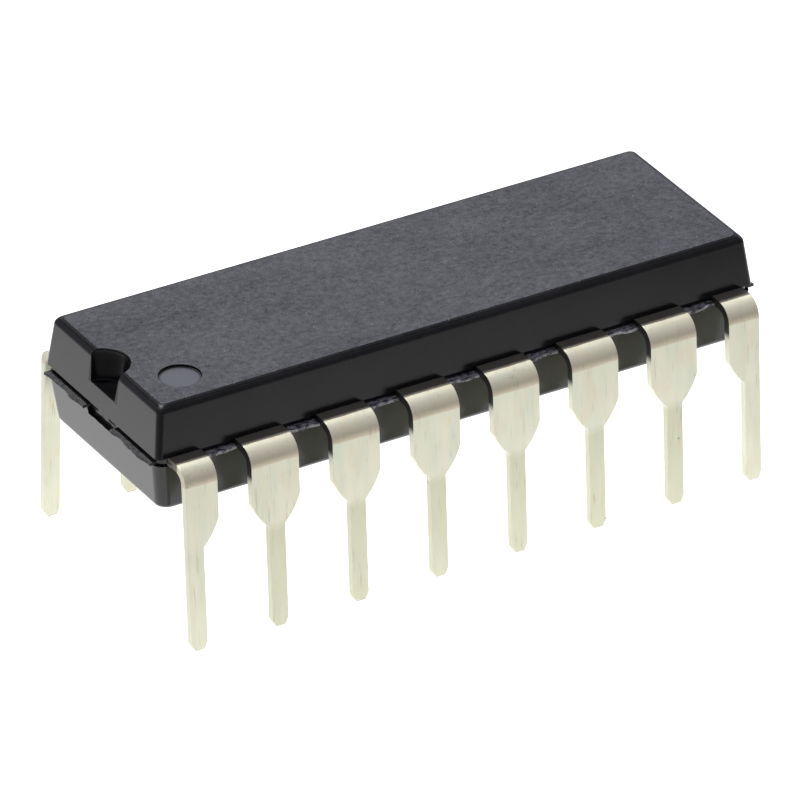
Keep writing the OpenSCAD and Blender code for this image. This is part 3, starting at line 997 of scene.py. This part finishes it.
@dataclass
class LeadRows:
    """Sixteen stamped and formed leads in two rows, with their fingers inside the body."""

    pitch: float = 2.54
    sheet: float = 0.25
    frame_low: float = 5.32
    body_side: float = 3.15
    root: float = 0.45
    flat: float = 0.35
    bend_radius: float = 0.3
    splay: float = math.radians(2.8)
    blade_half: float = 0.75
    pin_half: float = 0.25
    tip_half: float = 0.15
    tip_height: float = 0.22
    seat: float = 3.1
    corner_radius: float = 2.0
    corner_turn: float = math.radians(18)
    bend_steps: int = 12
    corner_steps: int = 8
    edge_round: float = 0.022
    sharp_angle: float = 40.0
    finger_half: float = 0.3
    finger_widths: tuple[float, ...] = (0.6, 0.48, 0.28, 0.28)
    paddle_half: Pair = (1.9, 1.25)
    finger_gap: float = 0.2
    finger_end: float = 0.4
    finger_run: float = 0.1
    side_cut: float = 0.2
    end_cut: float = 0.55
    side_spacing: float = 1.0
    end_first: float = 0.5
    end_spacing: float = 0.5

    @property
    def inner_y(self) -> float:
        """Where a front-row lead's blade ends and its finger starts, inside the body."""
        return -self.body_side + self.root

    def row_x(self, index: int) -> float:
        """Place along the row of the lead with an index, from 0."""
        return (index - ROW_MIDDLE) * self.pitch

    def blade(self, shoulder: Shoulder) -> Piece:
        """Models a lead's sheet from its root to its tip, at the middle of the sheet.

        Args:
            shoulder: Which sides are shouldered out.

        Returns:
            An open sheet in millimetres, at the middle of the front row.
        """
        left = self.pin_half if shoulder is Shoulder.RIGHT else self.blade_half
        right = self.pin_half if shoulder is Shoulder.LEFT else self.blade_half
        level = self.frame_low + self.sheet / 2
        bend_y = -self.body_side - self.flat
        bend_z = self.frame_low - self.bend_radius
        name = f"blade_{shoulder.value}"
        sizes = (left + right, self.inner_y - bend_y, 1)
        place = ((right - left) / 2, (self.inner_y + bend_y) / 2, level)
        work = Work.start(name, bpy.ops.mesh.primitive_plane_add, sizes, place, size=1)
        for x in (-self.finger_half, self.finger_half):
            if -left < x < right:
                work.pick(Element.FACE, lambda spot, way: True)
                bpy.ops.mesh.bisect(plane_co=(x, 0, 0), plane_no=(1, 0, 0))
        work.pick(
            Element.EDGE, lambda spot, way: abs(spot.y - bend_y) < NEAR and abs(way.x) > 0.9
        )
        turn = math.pi / 2 - self.splay
        centre = (0, bend_y, bend_z)
        bpy.ops.mesh.spin(steps=self.bend_steps, angle=turn, center=centre, axis=(-1, 0, 0))

        down = Vector((0, -math.sin(self.splay), -math.cos(self.splay)))
        leg = (bend_z + self.bend_radius * math.sin(self.splay)) / math.cos(self.splay)
        fixed_x = {Shoulder.BOTH: 0.0, Shoulder.RIGHT: -left, Shoulder.LEFT: right}[shoulder]
        height, half = leg, self.blade_half
        for stop, new_half in self.outline(self.seat / math.cos(self.splay)):
            work.extrude(tuple(down * (height - stop)))
            if shoulder is Shoulder.BOTH:
                work.resize((new_half / half, 1, 1), (0, 0, 0))
            elif stop > 0:
                share = (new_half + self.pin_half) / (half + self.pin_half)
                work.resize((share, 1, 1), (fixed_x, 0, 0))
            else:
                work.resize((self.tip_half / self.pin_half, 1, 1), (0, 0, 0))
            height, half = stop, new_half
        return work.done()

    def outline(self, pin: float) -> list[Pair]:
        """Lists the blade's half width at each level below the bend.

        Args:
            pin: Length of the pin, measured up from its tip.

        Returns:
            Pairs of a distance from the tip and a half width.
        """
        radius, first = self.corner_radius, self.corner_turn
        last = math.acos(math.cos(first) - (self.blade_half - self.pin_half) / radius)
        stops = []
        for i in range(self.corner_steps + 1):
            a = first + (last - first) * i / self.corner_steps
            height = pin + radius * (math.sin(last) - math.sin(a))
            stops.append((height, self.blade_half - radius * (math.cos(first) - math.cos(a))))
        return [*stops, (self.tip_height, self.pin_half), (0, self.tip_half)]

    def route(self, index: int) -> list[Pair]:
        """Lists the points of a front-row finger, in plan.

        Args:
            index: Place along the row, from 0.

        Returns:
            Points from the root to the inner end.
        """
        x = self.row_x(index)
        inward = 1 if x < 0 else -1
        rank = abs(index - ROW_MIDDLE) - 0.5
        if rank < 2:
            cut = self.side_cut
            end_x = -inward * (rank + 0.5) * self.side_spacing
            end_y = -self.paddle_half[1] - self.finger_gap
            before = (end_x, end_y - self.finger_end)
        else:
            cut = self.end_cut
            end_x = -inward * (self.paddle_half[0] + self.finger_gap)
            end_y = -self.end_first - (ROW_LEADS / 2 - 1 - rank) * self.end_spacing
            before = (end_x - inward * self.finger_end, end_y)
        y = self.inner_y
        turn = (x + inward * cut, y + cut)
        return [(x, y), (x, y + self.finger_run), turn, before, (end_x, end_y)]

    def add_finger(self, lead: Piece, index: int) -> None:
        """Extrudes the finger of a front-row lead from its root, point by point.

        Args:
            lead: The lead's sheet, at its place in the row.
            index: Place along the row, from 0.
        """
        work = Work(lead)
        points = [Vector(point) for point in self.route(index)]
        x, inner = points[0]
        work.pick(
            Element.EDGE,
            lambda spot, way: abs(spot.y - inner) < NEAR
            and abs(spot.x - x) < self.finger_half - 0.02
            and abs(way.x) > 0.9,
        )
        mesh = bmesh.from_edit_mesh(lead.data)
        sides = sorted((v.co.xy.copy() for v in mesh.verts if v.select), key=lambda p: p.x)
        for i, width in enumerate(self.finger_widths, 1):
            before = (points[i] - points[i - 1]).normalized()
            last = i == len(points) - 1
            after = before if last else (points[i + 1] - points[i]).normalized()
            across = [Vector((-way.y, way.x)) for way in (before, after)]
            bisector = (across[0] + across[1]).normalized()
            reach = bisector * (width / 2 / bisector.dot(across[1]))
            targets = [points[i] + reach, points[i] - reach]
            work.extrude((0, 0, 0))
            for start, target in zip(sides, targets, strict=True):
                work.pick(
                    Element.VERT, lambda spot, way: (spot.xy - start).length < NEAR, newest=True
                )
                work.move((*(target - start), 0))
            work.pick(Element.EDGE, lambda spot, way: (spot.xy - points[i]).length < NEAR)
            sides = targets
        work.done()

    def build(self) -> list[Piece]:
        """Models each kind of blade once, and copies it for every lead of its kind.

        Returns:
            The sixteen leads, in metres.
        """
        blades = {shoulder: self.blade(shoulder) for shoulder in Shoulder}
        rounding = {"width": self.edge_round, "segments": 2, "limit_method": "ANGLE"}
        leads = []
        for number in range(1, LEADS + 1):
            index = (number - 1) % ROW_LEADS
            kind = {0: Shoulder.RIGHT, ROW_LEADS - 1: Shoulder.LEFT}.get(index, Shoulder.BOTH)
            lead = blades[kind].copy()
            lead.data = blades[kind].data.copy()
            lead.name = lead.data.name = f"tinned_lead_{number:02d}"
            bpy.context.collection.objects.link(lead)
            lead.location.x = self.row_x(index)
            settle(lead)
            self.add_finger(lead, index)
            modify(lead, "SOLIDIFY", thickness=self.sheet, offset=0, use_even_offset=True)
            modify(lead, "BEVEL", angle_limit=math.radians(self.sharp_angle), **rounding)
            if number > ROW_LEADS:
                lead.rotation_euler = (0, 0, math.pi)
                settle(lead)
            smooth(lead, self.sharp_angle)
            to_metres(lead)
            leads.append(lead)
        for blade in blades.values():
            bpy.data.objects.remove(blade, do_unlink=True)
        return leads

    def dress(self, leads: Iterable[Piece], finish: bpy.types.Material) -> None:
        """Gives the leads their finish and their places in the frame."""
        for number, lead in enumerate(leads, 1):
            lead.data.materials.append(finish)
            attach(lead, "root")
            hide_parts(f"lead_{number:02d}")


class Core:
    """Die, adhesive, paddle and bond wires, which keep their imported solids."""

    def dress(self) -> int:
        """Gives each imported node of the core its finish.

        Returns:
            How many nodes were dressed.
        """
        finishes = {
            "die_paddle": ROLLED_ALLOY,
            "die_attach": SILVER_ADHESIVE,
            "silicon_die": POLISHED_SILICON,
            "bond_wire": DRAWN_GOLD,
        }
        made = {start: finish.material() for start, finish in finishes.items()}
        count = 0
        for name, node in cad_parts.items():
            for start, material in made.items():
                if name.startswith(start):
                    node.data.materials.clear()
                    node.data.materials.append(material)
                    count += 1
        return count


@dataclass
class Studio:
    """White table, a broad soft panel behind and to the right, and a lamp overhead."""

    table_side: float = 0.8
    glow_centre: Triple = (2.0, 3.0, 0.0)
    glow_full: float = 27.8
    glow_end: float = 32.0
    glow: float = 0.97
    glow_rise: float = 1.0
    dim: float = 0.34
    room: float = 0.36
    room_tint: str = "#e8eafa"
    panel: float = 1.34
    panel_way: Triple = (0.5, 0.72, 0.48)
    panel_spread: Pair = (0.76, 0.92)
    lamp_from: Triple = (0.0, 0.375, 0.927)
    lamp: float = 3.0
    lamp_wide: float = math.radians(4)
    aim: Triple = (0.0, 0.0, 3.6)
    azimuth: float = -30.394
    elevation: float = 30.219
    roll: float = -0.208
    distance: float = 296.19
    pixels_per_mm: float = 36.098
    off_right: float = 0.0402
    off_up: float = 0.4387
    sensor: float = 36.0

    def table(self) -> None:
        """Lays the white table, which glows so that nothing casts a shadow on it."""
        bpy.ops.object.select_all(action="DESELECT")
        bpy.ops.mesh.primitive_plane_add(size=self.table_side)
        table = bpy.context.active_object
        table.name = "table"
        made = bpy.data.materials.new("white_table")
        made.use_nodes = True
        ground = Ground(made.node_tree)
        add, near = ground.add, ground.ball(self.glow_centre, (self.glow_end,) * 3)
        full = 1 - self.glow_full / self.glow_end
        glow = add("MapRange", (near, 0.0, full, self.dim, self.glow), **EASED)
        glow = add("Math", (near, self.glow_rise, glow), operation="MULTIPLY_ADD")
        add("OutputMaterial", {"Surface": add("Emission", {"Strength": glow})})
        table.data.materials.append(made)

    def sky(self) -> None:
        """Makes the room dim, with a bright soft panel behind the right."""
        world = bpy.data.worlds.new("room")
        bpy.context.scene.world = world
        world.use_nodes = True
        ground = Ground(world.node_tree, "Generated")
        add, aim = ground.add, tuple(Vector(self.panel_way).normalized())
        share = add("VectorMath", (ground.coords, aim), "Value", operation="DOT_PRODUCT")
        strength = add("MapRange", (share, *self.panel_spread, self.room, self.panel), **EASED)
        back = add("Background", {"Color": linear(self.room_tint), "Strength": strength})
        add("OutputWorld", {"Surface": back})

    def high_lamp(self) -> None:
        """Hangs a lamp overhead, a little behind the part, so that its wall shades the flats."""
        data = bpy.data.lights.new("high_lamp", "SUN")
        data.energy = self.lamp
        data.angle = self.lamp_wide
        lamp = bpy.data.objects.new("high_lamp", data)
        bpy.context.scene.collection.objects.link(lamp)
        lamp.rotation_euler = Vector(self.lamp_from).to_track_quat("Z", "Y").to_euler()

    def camera(self) -> None:
        """Stands the long-lens camera at the photograph's angle."""
        a, e, r = (math.radians(v) for v in (self.azimuth, self.elevation, self.roll))
        back = Vector((math.sin(a) * math.cos(e), -math.cos(a) * math.cos(e), math.sin(e)))
        level = Vector((math.cos(a), math.sin(a), 0))
        upright = back.cross(level)
        right = level * math.cos(r) + upright * math.sin(r)
        up = upright * math.cos(r) - level * math.sin(r)
        spot = Vector(self.aim) + back * self.distance - right * self.off_right - up * self.off_up
        data = bpy.data.cameras.new("camera")
        data.sensor_width = self.sensor
        data.lens = self.sensor * self.pixels_per_mm * self.distance / PICTURE_SIDE
        data.clip_start = self.distance * MM / 10
        data.clip_end = self.distance * MM * 10
        camera = bpy.data.objects.new("camera", data)
        bpy.context.scene.collection.objects.link(camera)
        turned = Matrix((right, up, back)).transposed().to_4x4()
        camera.matrix_world = Matrix.Translation(spot * MM) @ turned
        bpy.context.scene.camera = camera

    def build(self) -> None:
        """Sets the whole studio up, with colours shown as they are."""
        self.table()
        self.sky()
        self.high_lamp()
        self.camera()
        bpy.context.scene.view_settings.view_transform = "Standard"


def report(pieces: Iterable[Piece]) -> None:
    """Reports the faces and the box of each piece."""
    for piece in pieces:
        low, high = ([round(v / MM, 3) for v in piece.bound_box[i]] for i in (0, 6))
        log.info("%s: %d faces, %s to %s mm", piece.name, len(piece.data.polygons), low, high)


def main() -> None:
    """Builds and dresses the sub-assemblies in order, and then the studio."""
    logging.basicConfig(level=logging.INFO, format="%(message)s")
    epoxy = MouldedEpoxy().material()
    moulding = Moulding()
    body = moulding.build()
    moulding.dress(body, epoxy)
    report([body])

    flash = Flash(moulding)
    strips = flash.build()
    flash.dress(strips)
    report(strips)

    rows = LeadRows()
    leads = rows.build()
    rows.dress(leads, MatteTin().material())
    report(leads)

    log.info("core: %d packed nodes dressed", Core().dress())
    Studio().build()


if __name__ == "__main__":
    main()
